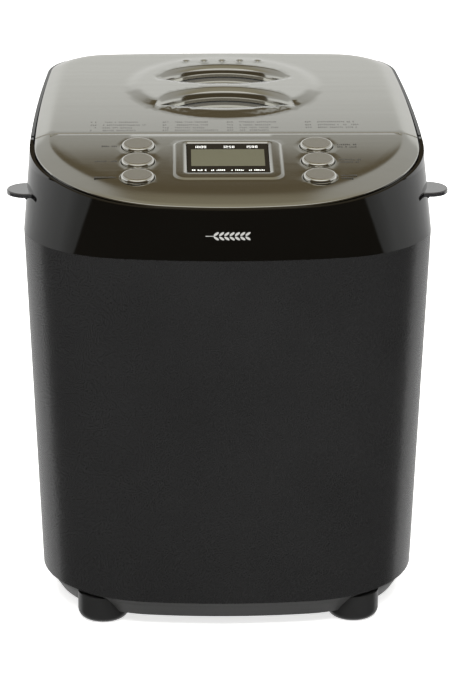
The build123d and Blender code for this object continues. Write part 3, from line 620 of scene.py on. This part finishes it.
def build_program_list(material):
    """Printed list of the programs behind the split."""
    chance = Random(7)
    bm = bmesh.new()
    for left, rows in PROGRAM_COLUMNS:
        for row in PROGRAM_ROWS[:rows]:
            marks = word(left, row, 4.6, 2.6, chance, 1.5)
            marks += word(left + 8.5, row, chance.uniform(20, 33), 2.6, chance)
            add_marks(bm, marks, on_lid)
    make_piece("program_list", bm, "lid", material)


def build_key_labels(material):
    """Printed words beside the keys: one line on the left, two on the right."""
    chance = Random(11)
    bm = bmesh.new()
    for row, (left, right) in enumerate(LABEL_WIDTHS):
        depth = (BUTTON_FIRST + BUTTON_PITCH * row) * PANEL_ALONG
        add_marks(bm, word(-BUTTON_X - 13.5 - left, depth, left, 2.4, chance), on_panel)
        for line, shift in ((0, -2.0), (1, 2.0)):
            marks = word(BUTTON_X + 14.0, depth + shift, right - 2 * line, 2.2, chance)
            add_marks(bm, marks, on_panel)
    make_piece("key_labels", bm, "housing", material)


def on_display(x, depth, lift=0.0):
    """Point on the display's glass, from the distance down the slope."""
    place = panel_matrix(x, SPLIT_Y - depth * PANEL_ALONG, lift)
    return tuple(place.translation / MM)


# strokes of each figure, named as on a seven-stroke display
SEGMENTS = {"0": "abcdef", "1": "bc", "2": "abged", "5": "afgcd"}


def digit(symbol, x, y, width, height, stroke):
    """Strokes of a plain seven-stroke figure; y is the far side, as the panel is read from the front."""
    middle = y + height / 2
    bars = {
        "a": (x, y, x + width, y + stroke),
        "b": (x + width - stroke, y, x + width, middle),
        "c": (x + width - stroke, middle, x + width, y + height),
        "d": (x, y + height - stroke, x + width, y + height),
        "e": (x, middle, x + stroke, y + height),
        "f": (x, y, x + stroke, middle),
        "g": (x, middle - stroke / 2, x + width, middle + stroke / 2),
    }
    return [bars[name] for name in SEGMENTS[symbol]]


def build_display(panel_material, ink):
    """Pale window of the display and the white marks above and below it."""
    top = DISPLAY_LIFT
    bm = bmesh.new()
    rows = []
    for step in range(7):
        depth = DISPLAY_TOP + (DISPLAY_BOTTOM - DISPLAY_TOP) * step / 6
        rows.append([on_display(x * DISPLAY_HALF / 4, depth, top) for x in range(-4, 5)])
    skin_rows(bm, rows)
    make_piece("display_window", bm, "housing", panel_material)
    marks = []
    for left, figures in ((-22.5, "1000"), (-3.5, "1250"), (12.0, "1500")):
        for place, symbol in enumerate(figures):
            marks += digit(symbol, left + 2.2 * place, LCD_TOP + 4.2, 1.6, 3.6, 0.5)
    chance = Random(5)
    for left, width in ((-24.0, 10.0), (-11.5, 10.0), (2.0, 8.5), (13.5, 11.0)):
        marks += word(left, LCD_BOTTOM - 4.2, width, 2.2, chance, 1.2)
    bm = bmesh.new()
    add_marks(bm, marks, lambda x, depth: on_display(x, depth, top))
    make_piece("display_marks", bm, "housing", ink)


def build_wheat_ear(material):
    """Small generic ear of wheat on the collar's front."""
    bm = bmesh.new()
    share = (EAR_Z - SEAM_Z) / (COLLAR_MID_Z - SEAM_Z)

    def on_collar(x, z):
        outline = between(SEAM, COLLAR_MID, share + (z - EAR_Z) / (COLLAR_MID_Z - SEAM_Z))
        y = outline.front + outline.front_radius - sqrt(outline.front_radius**2 - x**2)
        return x, y - PRINT_LIFT, z

    kernel = [(1.9 * cos(2 * pi * i / 14), 0.75 * sin(2 * pi * i / 14)) for i in range(14)]
    for index in range(7):
        cx = -9.0 + 3.4 * index
        for side in (-1, 1):
            cz = EAR_Z + side * 1.35
            turn = radians(side * 32)
            points = [on_collar(cx + u * cos(turn) - v * sin(turn), cz + u * sin(turn) + v * cos(turn))
                      for u, v in kernel]
            bm.faces.new(add_row(bm, points))
    add_marks(bm, [(-16.0, EAR_Z - 0.2, -10.0, EAR_Z + 0.2)], on_collar)
    make_piece("wheat_ear", bm, "housing", material)


# ---------------------------------------------- materials
def new_material(name):
    """Empty node material with its output and a Principled shader."""
    material = bpy.data.materials.new(name)
    material.use_nodes = True
    nodes = material.node_tree.nodes
    return material, nodes, material.node_tree.links, nodes["Principled BSDF"]


def add_noise(nodes, links, scale, stretch=(1, 1, 1), detail=4.0):
    """Noise in object space, stretched along the axes."""
    where = nodes.new("ShaderNodeTexCoord")
    mapping = nodes.new("ShaderNodeMapping")
    mapping.inputs["Scale"].default_value = stretch
    noise = nodes.new("ShaderNodeTexNoise")
    noise.inputs["Scale"].default_value = scale
    noise.inputs["Detail"].default_value = detail
    links.new(where.outputs["Object"], mapping.inputs["Vector"])
    links.new(mapping.outputs["Vector"], noise.inputs["Vector"])
    return noise.outputs["Fac"]


def ramp(nodes, links, source, low, high, low_at=0.3, high_at=0.7):
    """Colour between two values of a factor."""
    node = nodes.new("ShaderNodeValToRGB")
    node.color_ramp.elements[0].position = low_at
    node.color_ramp.elements[1].position = high_at
    node.color_ramp.elements[0].color = (*low, 1)
    node.color_ramp.elements[1].color = (*high, 1)
    links.new(source, node.inputs["Fac"])
    return node.outputs["Color"]


def vary(nodes, links, source, low, high):
    """Number between two values of a factor."""
    node = nodes.new("ShaderNodeMapRange")
    node.inputs["From Min"].default_value = 0.3
    node.inputs["From Max"].default_value = 0.7
    node.inputs["To Min"].default_value = low
    node.inputs["To Max"].default_value = high
    links.new(source, node.inputs["Value"])
    return node.outputs["Result"]


def bump(nodes, links, source, strength, distance, shader):
    """Relief from a factor."""
    node = nodes.new("ShaderNodeBump")
    node.inputs["Strength"].default_value = strength
    node.inputs["Distance"].default_value = distance
    links.new(source, node.inputs["Height"])
    links.new(node.outputs["Normal"], shader.inputs["Normal"])


def scaled(color, factor):
    """Colour made lighter or darker."""
    return tuple(min(1.0, part * factor) for part in color)


def surface(name, color, rough, metallic=0.0, spread=0.12, grain=600.0, relief=0.05, stretch=(1, 1, 1),
            specular=0.5, coat=0.0):
    """General material: colour drift, fine roughness variation and grain relief."""
    material, nodes, links, shader = new_material(name)
    drift = add_noise(nodes, links, 14.0, detail=3.0)
    fine = add_noise(nodes, links, grain, stretch)
    tone = ramp(nodes, links, drift, scaled(color, 1 - spread), scaled(color, 1 + spread))
    links.new(tone, shader.inputs["Base Color"])
    links.new(vary(nodes, links, fine, rough * 0.85, rough * 1.15), shader.inputs["Roughness"])
    shader.inputs["Metallic"].default_value = metallic
    shader.inputs["Specular IOR Level"].default_value = specular
    shader.inputs["Coat Weight"].default_value = coat
    shader.inputs["Coat Roughness"].default_value = 0.03
    bump(nodes, links, fine, relief, 0.00005, shader)
    return material


def spun_metal():
    """Key metal with concentric turning marks: satin on top, polished on the shoulder."""
    material, nodes, links, shader = new_material("chrome_key_spun")
    where = nodes.new("ShaderNodeUVMap")
    where.uv_map = "spin"
    rings = nodes.new("ShaderNodeTexNoise")
    rings.inputs["Scale"].default_value = 40.0
    rings.inputs["Detail"].default_value = 2.0
    links.new(where.outputs["UV"], rings.inputs["Vector"])
    tone = ramp(nodes, links, rings.outputs["Fac"], (0.80, 0.79, 0.75), (0.88, 0.87, 0.83))
    links.new(tone, shader.inputs["Base Color"])
    split = nodes.new("ShaderNodeSeparateXYZ")
    links.new(where.outputs["UV"], split.inputs["Vector"])
    shoulder = nodes.new("ShaderNodeMapRange")
    shoulder.inputs["From Min"].default_value = 0.80
    shoulder.inputs["From Max"].default_value = 0.86
    shoulder.inputs["To Min"].default_value = 0.28
    shoulder.inputs["To Max"].default_value = 0.07
    links.new(split.outputs["X"], shoulder.inputs["Value"])
    links.new(shoulder.outputs["Result"], shader.inputs["Roughness"])
    shader.inputs["Metallic"].default_value = 1.0
    bump(nodes, links, rings.outputs["Fac"], 0.08, 0.00003, shader)
    return material


def speckled(name, color, fleck, rough):
    """Non-stick coating with fine flecks."""
    material, nodes, links, shader = new_material(name)
    where = nodes.new("ShaderNodeTexCoord")
    cells = nodes.new("ShaderNodeTexVoronoi")
    cells.inputs["Scale"].default_value = 900.0
    links.new(where.outputs["Object"], cells.inputs["Vector"])
    tone = ramp(nodes, links, cells.outputs["Distance"], fleck, color, 0.10, 0.22)
    links.new(tone, shader.inputs["Base Color"])
    fine = add_noise(nodes, links, 1200.0)
    links.new(vary(nodes, links, fine, rough * 0.8, rough * 1.2), shader.inputs["Roughness"])
    bump(nodes, links, fine, 0.12, 0.00008, shader)
    return material


def mirror_glass():
    """Dark window pane with a reflecting, heat-holding film."""
    material, nodes, links, shader = new_material("window_mirror_film")
    smear = add_noise(nodes, links, 22.0)
    links.new(vary(nodes, links, smear, 0.02, 0.05), shader.inputs["Roughness"])
    links.new(ramp(nodes, links, smear, (0.60, 0.60, 0.56), (0.66, 0.66, 0.62)), shader.inputs["Base Color"])
    shader.inputs["Metallic"].default_value = 0.9
    return material


def brushed_plate():
    """Brushed stainless plate: the grain runs across, from side to side."""
    material, nodes, links, shader = new_material("silver_brushed")
    grain = add_noise(nodes, links, 1400.0, (0.012, 1.0, 1.0), 5.0)
    broad = add_noise(nodes, links, 160.0, (0.02, 1.0, 1.0), 3.0)
    mixed = nodes.new("ShaderNodeMath")
    mixed.operation = "MULTIPLY_ADD"
    mixed.inputs[1].default_value = 0.5
    links.new(grain, mixed.inputs[0])
    links.new(broad, mixed.inputs[2])
    tone = ramp(nodes, links, mixed.outputs["Value"], (0.597, 0.590, 0.551), (0.613, 0.606, 0.567), 0.6, 0.9)
    links.new(tone, shader.inputs["Base Color"])
    links.new(vary(nodes, links, grain, 0.10, 0.15), shader.inputs["Roughness"])
    shader.inputs["Metallic"].default_value = 1.0
    bump(nodes, links, grain, 0.05, 0.00002, shader)
    return material


def printed(name, color, rough=0.5):
    """Printing ink with a slightly uneven tone."""
    return surface(name, color, rough, 0.0, 0.08, 1500.0, 0.0)


def circuit_board():
    """Green board with lighter copper traces."""
    material, nodes, links, shader = new_material("board_green_traces")
    where = nodes.new("ShaderNodeTexCoord")
    mapping = nodes.new("ShaderNodeMapping")
    mapping.inputs["Scale"].default_value = (1, 1, 0.2)
    brick = nodes.new("ShaderNodeTexBrick")
    brick.inputs["Scale"].default_value = 90.0
    brick.inputs["Color1"].default_value = (0.02, 0.12, 0.05, 1)
    brick.inputs["Color2"].default_value = (0.03, 0.17, 0.07, 1)
    brick.inputs["Mortar"].default_value = (0.16, 0.26, 0.08, 1)
    links.new(where.outputs["Object"], mapping.inputs["Vector"])
    links.new(mapping.outputs["Vector"], brick.inputs["Vector"])
    links.new(brick.outputs["Color"], shader.inputs["Base Color"])
    fine = add_noise(nodes, links, 500.0)
    links.new(vary(nodes, links, fine, 0.28, 0.4), shader.inputs["Roughness"])
    return material


def slot_materials():
    """One material for each of the record's slots."""
    brushed = (0.06, 1.0, 1.0)
    return {
        "silver_plate": brushed_plate(),
        "gloss_black": surface("gloss_black_collar", (0.0012, 0.0012, 0.0012),
                               0.05, 0.0, 0.2, 300.0, 0.01, specular=0.45, coat=0.3),
        "body_grey": surface("body_grey_lacquer", (0.0118, 0.0118, 0.0120),
                             0.27, 0.0, 0.08, 1500.0, 0.05, specular=0.5),
        "base_grey": surface("base_grey_moulded", (0.030, 0.030, 0.0296), 0.45, 0.0, 0.10, 1200.0, 0.15),
        "foot_rubber": surface("foot_rubber_black", (0.014, 0.014, 0.014), 0.34, 0.0, 0.2, 900.0, 0.12),
        "grip_plastic": surface("grip_gloss", (0.02, 0.02, 0.021),
                                0.14, 0.0, 0.1, 700.0, 0.03, specular=1.0, coat=0.6),
        "black_plastic": surface("black_moulded", (0.012, 0.012, 0.012), 0.42, 0.0, 0.15, 1100.0, 0.2),
        "chrome_key": spun_metal(),
        "chrome_trim": surface("chrome_ring", (0.78, 0.77, 0.72), 0.08, 1.0, 0.04, 500.0, 0.02),
        "lens": surface("display_black_glass", (0.004, 0.004, 0.004), 0.06, 0.0, 0.2, 200.0, 0.01, coat=0.5),
        "lcd_panel": surface("display_grey_green", (0.07, 0.067, 0.040), 0.35, 0.0, 0.05, 1500.0, 0.02),
        "board_green": circuit_board(),
        "switch_black": surface("switch_case", (0.015, 0.015, 0.016), 0.4, 0.0, 0.1, 800.0, 0.1),
        "screw_steel": surface("screw_zinc", (0.55, 0.55, 0.53), 0.3, 1.0, 0.1, 900.0, 0.15),
        "window_glass": mirror_glass(),
        "seal_black": surface("seal_black_silicone", (0.01, 0.01, 0.01), 0.5, 0.0, 0.2, 700.0, 0.2),
        "seal_grey": surface("seal_grey_silicone", (0.20, 0.20, 0.19), 0.5, 0.0, 0.1, 700.0, 0.2),
        "liner_metal": surface("liner_satin", (0.62, 0.61, 0.59), 0.33, 1.0, 0.06, 700.0, 0.15, brushed),
        "hinge_steel": surface("hinge_satin", (0.48, 0.48, 0.47), 0.35, 1.0, 0.08, 700.0, 0.15),
        "chamber_sheet": surface("chamber_galvanised", (0.50, 0.50, 0.49), 0.36, 1.0, 0.16, 160.0, 0.1),
        "element_metal": surface("element_heat_dark", (0.10, 0.09, 0.085), 0.42, 1.0, 0.35, 300.0, 0.2),
        "bushing_ceramic": surface("ceramic_matt", (0.72, 0.69, 0.62), 0.55, 0.0, 0.06, 700.0, 0.15),
        "sensor_metal": surface("sensor_polished", (0.6, 0.6, 0.58), 0.2, 1.0, 0.06, 500.0, 0.05),
        "socket_metal": surface("socket_cast", (0.46, 0.46, 0.45), 0.5, 1.0, 0.12, 500.0, 0.4),
        "chassis_metal": surface("chassis_zinc", (0.48, 0.49, 0.50), 0.38, 1.0, 0.12, 250.0, 0.15),
        "bearing_bronze": surface("bronze_sintered", (0.50, 0.33, 0.13), 0.42, 1.0, 0.12, 900.0, 0.3),
        "shaft_steel": surface("shaft_ground", (0.58, 0.58, 0.57), 0.22, 1.0, 0.05, 900.0, 0.1, (1, 1, 8)),
        "pulley_alloy": surface("pulley_cast", (0.52, 0.52, 0.51), 0.42, 1.0, 0.1, 600.0, 0.3),
        "belt_rubber": surface("belt_black", (0.012, 0.012, 0.012), 0.6, 0.0, 0.2, 900.0, 0.3),
        "core_steel": surface("core_laminated", (0.16, 0.16, 0.165),
                              0.4, 1.0, 0.2, 700.0, 0.5, (0.05, 0.05, 4)),
        "winding_copper": surface("winding_enamel", (0.50, 0.19, 0.07),
                                  0.3, 1.0, 0.15, 800.0, 0.6, (0.1, 0.1, 3)),
        "wire_sleeve": surface("wire_sleeve_black", (0.02, 0.02, 0.02), 0.55, 0.0, 0.15, 900.0, 0.3),
        "pan_coating": speckled("pan_nonstick", (0.028, 0.028, 0.029), (0.12, 0.12, 0.12), 0.38),
        "bail_steel": surface("bail_bright", (0.62, 0.62, 0.60), 0.22, 1.0, 0.05, 700.0, 0.05),
        "paddle_coating": speckled("paddle_nonstick", (0.024, 0.024, 0.025), (0.10, 0.10, 0.10), 0.4),
    }


def dress_frame(materials):
    """Gives every CAD node its slot's material and smooth shading, and rounds the edges of the shell, collar,
    base and grips.
    """
    slots = {entry["node"]: entry["material_slot"] for entry in frame["record"]["subparts"]}
    for name, node in frame["nodes"].items():
        node.data.materials.clear()
        node.data.materials.append(materials[slots[name]])
        node.data.shade_smooth()
        node.data.set_sharp_from_angle(angle=radians(32))
    for name in ("lower_shell", "upper_collar", "base_tray", "side_grip_left", "side_grip_right"):
        edge = frame["nodes"][name].modifiers.new("rounded_edges", "BEVEL")
        edge.width = 0.45 * MM
        edge.segments = 2
        edge.limit_method = "ANGLE"
        edge.angle_limit = radians(40)


# ---------------------------------------------- camera, light and floor
def floor():
    """Plain pale floor."""
    bm = bmesh.new()
    reach = 9.0
    corners = [(-reach, -reach, 0), (reach, -reach, 0), (reach, reach, 0), (-reach, reach, 0)]
    bm.faces.new([bm.verts.new(corner) for corner in corners])
    mesh = bpy.data.meshes.new("floor")
    bm.to_mesh(mesh)
    bm.free()
    material, nodes, links, shader = new_material("floor_white")
    links.new(ramp(nodes, links, add_noise(nodes, links, 3.0), (0.90, 0.90, 0.90), (0.93, 0.93, 0.93)),
              shader.inputs["Base Color"])
    shader.inputs["Roughness"].default_value = 0.9
    shader.inputs["Specular IOR Level"].default_value = 0.1
    shader.inputs["Emission Color"].default_value = (1, 1, 1, 1)
    shader.inputs["Emission Strength"].default_value = 0.72
    mesh.materials.append(material)
    ground = bpy.data.objects.new("floor", mesh)
    bpy.context.collection.objects.link(ground)
    ground.visible_glossy = False


def softbox(name, place, target, size, power):
    """Large soft area light that gloss doesn't mirror."""
    light = bpy.data.lights.new(name, "AREA")
    light.shape = "RECTANGLE"
    light.size, light.size_y = size
    light.energy = power
    lamp = bpy.data.objects.new(name, light)
    lamp.location = place
    lamp.rotation_euler = (Vector(target) - Vector(place)).to_track_quat("-Z", "Y").to_euler()
    lamp.visible_glossy = False
    lamp.visible_camera = False
    bpy.context.collection.objects.link(lamp)


# colour of the surroundings by height, from straight down at -1 to straight up at 1
BACK_BANDS = ((-1.0, (0.80, 0.80, 0.80)), (0.15, (0.78, 0.78, 0.77)), (0.355, (0.72, 0.725, 0.71)),
              (0.40, (0.46, 0.46, 0.44)), (0.507, (0.42, 0.415, 0.385)), (0.523, (0.122, 0.098, 0.058)),
              (0.78, (0.122, 0.098, 0.058)), (0.86, (0.325, 0.295, 0.215)), (1.0, (0.36, 0.335, 0.26)))
SIDE_BANDS = ((-1.0, (0.80, 0.80, 0.80)), (0.15, (0.78, 0.78, 0.77)), (0.355, (0.72, 0.725, 0.71)),
              (0.42, (0.46, 0.46, 0.44)), (0.78, (0.40, 0.39, 0.36)), (0.9, (0.33, 0.30, 0.22)),
              (1.0, (0.36, 0.335, 0.26)))
FRONT_BANDS = ((-1.0, (0.10, 0.10, 0.10)), (-0.05, (0.012, 0.012, 0.012)), (0.1, (0.075, 0.060, 0.036)),
               (0.60, (0.075, 0.060, 0.036)),
               (0.80, (0.85, 0.84, 0.80)), (0.97, (0.85, 0.84, 0.80)), (1.0, (0.36, 0.335, 0.26)))


def sky():
    """Surroundings by direction: bright behind and beside, dark in front, a warm dark band high up behind."""
    world = bpy.data.worlds.new("studio")
    bpy.context.scene.world = world
    world.use_nodes = True
    nodes, links = world.node_tree.nodes, world.node_tree.links
    background = nodes["Background"]
    where = nodes.new("ShaderNodeTexCoord")
    split = nodes.new("ShaderNodeSeparateXYZ")
    links.new(where.outputs["Generated"], split.inputs["Vector"])

    def math(kind, first, second):
        node = nodes.new("ShaderNodeMath")
        node.operation = kind
        for socket, value in zip(node.inputs, (first, second)):
            if isinstance(value, (int, float)):
                socket.default_value = value
            elif value is not None:
                links.new(value, socket)
        return node.outputs["Value"]

    def rise(value, low, high):
        node = nodes.new("ShaderNodeMapRange")
        node.interpolation_type = "SMOOTHSTEP"
        node.inputs["From Min"].default_value = low
        node.inputs["From Max"].default_value = high
        links.new(value, node.inputs["Value"])
        return node.outputs["Result"]

    def bands(stops):
        node = nodes.new("ShaderNodeValToRGB")
        elements = node.color_ramp.elements
        while len(elements) < len(stops):
            elements.new(0.5)
        for element, (height, color) in zip(elements, stops):
            element.position = (height + 1) / 2
            element.color = (*color, 1)
        links.new(rise_share, node.inputs["Fac"])
        return node.outputs["Color"]

    beside = math("ABSOLUTE", split.outputs["X"], None)
    slant = math("SUBTRACT", 0.49, math("MULTIPLY", rise(split.outputs["Z"], 0.05, 0.2), 0.82))
    behind = rise(math("SUBTRACT", split.outputs["Y"], math("MULTIPLY", beside, slant)), -0.03, 0.03)
    rise_share = math("MULTIPLY", math("ADD", split.outputs["Z"], 1.0), 0.5)
    aside = rise(math("SUBTRACT", beside, math("MULTIPLY", split.outputs["Y"], 0.185)), -0.025, 0.025)

    def mixed(factor, first, second):
        mix = nodes.new("ShaderNodeMix")
        mix.data_type = "RGBA"
        links.new(factor, mix.inputs["Factor"])
        links.new(first, mix.inputs[6])
        links.new(second, mix.inputs[7])
        return mix.outputs[2]

    back = mixed(aside, bands(BACK_BANDS), bands(SIDE_BANDS))
    links.new(mixed(behind, bands(FRONT_BANDS), back), background.inputs["Color"])
    background.inputs["Strength"].default_value = 1.0


def camera():
    """Camera a little to the left of the middle, looking down at the top by 18 degrees."""
    target = Vector((-0.74, SPLIT_Y, 169.1)) * MM
    distance = 1949.4 * MM
    pitch, yaw, roll = radians(18.04), radians(1.2), radians(-0.14)
    forward = Vector((sin(yaw) * cos(pitch), cos(yaw) * cos(pitch), -sin(pitch)))
    right = Vector((cos(yaw), -sin(yaw), 0))
    up = right.cross(forward)
    turned_right = right * cos(roll) - up * sin(roll)
    turned_up = right * sin(roll) + up * cos(roll)
    lens = bpy.data.cameras.new("camera")
    lens.sensor_width = 36.0
    lens.lens = 149.18
    lens.clip_end = 50.0
    view = bpy.data.objects.new("camera", lens)
    basis = Matrix((turned_right, turned_up, -forward)).transposed().to_4x4()
    view.matrix_world = Matrix.Translation(target - forward * distance) @ basis
    bpy.context.collection.objects.link(view)
    bpy.context.scene.camera = view


def studio():
    """Floor, lights, surroundings and camera."""
    floor()
    sky()
    softbox("overhead", (0, 0.4, 2.6), (0, 0, 0), (3.0, 3.0), 95)
    softbox("front_fill", (0, -2.6, 1.9), (0, 0, 0.2), (2.4, 1.6), 7)
    softbox("front_high", (0, -0.78, 0.9), (0, -0.16, 0.3), (0.9, 0.25), 9)
    camera()
    bpy.context.scene.view_settings.view_transform = "Standard"


# ---------------------------------------------- the whole scene
finishes = slot_materials()
dress_frame(finishes)
build_lid_skin(finishes["silver_plate"])
build_panel(finishes["silver_plate"])
for key_label, key_x, key_y in button_centers():
    build_key(key_label, key_x, key_y, finishes["chrome_key"])
grey_ink = printed("ink_grey", (0.10, 0.098, 0.09))
build_program_list(grey_ink)
build_key_labels(printed("ink_dark", (0.03, 0.028, 0.024)))
build_display(finishes["lcd_panel"], printed("ink_white", (0.75, 0.75, 0.72)))
build_wheat_ear(printed("ink_silver", (0.30, 0.30, 0.29), 0.35))
studio()
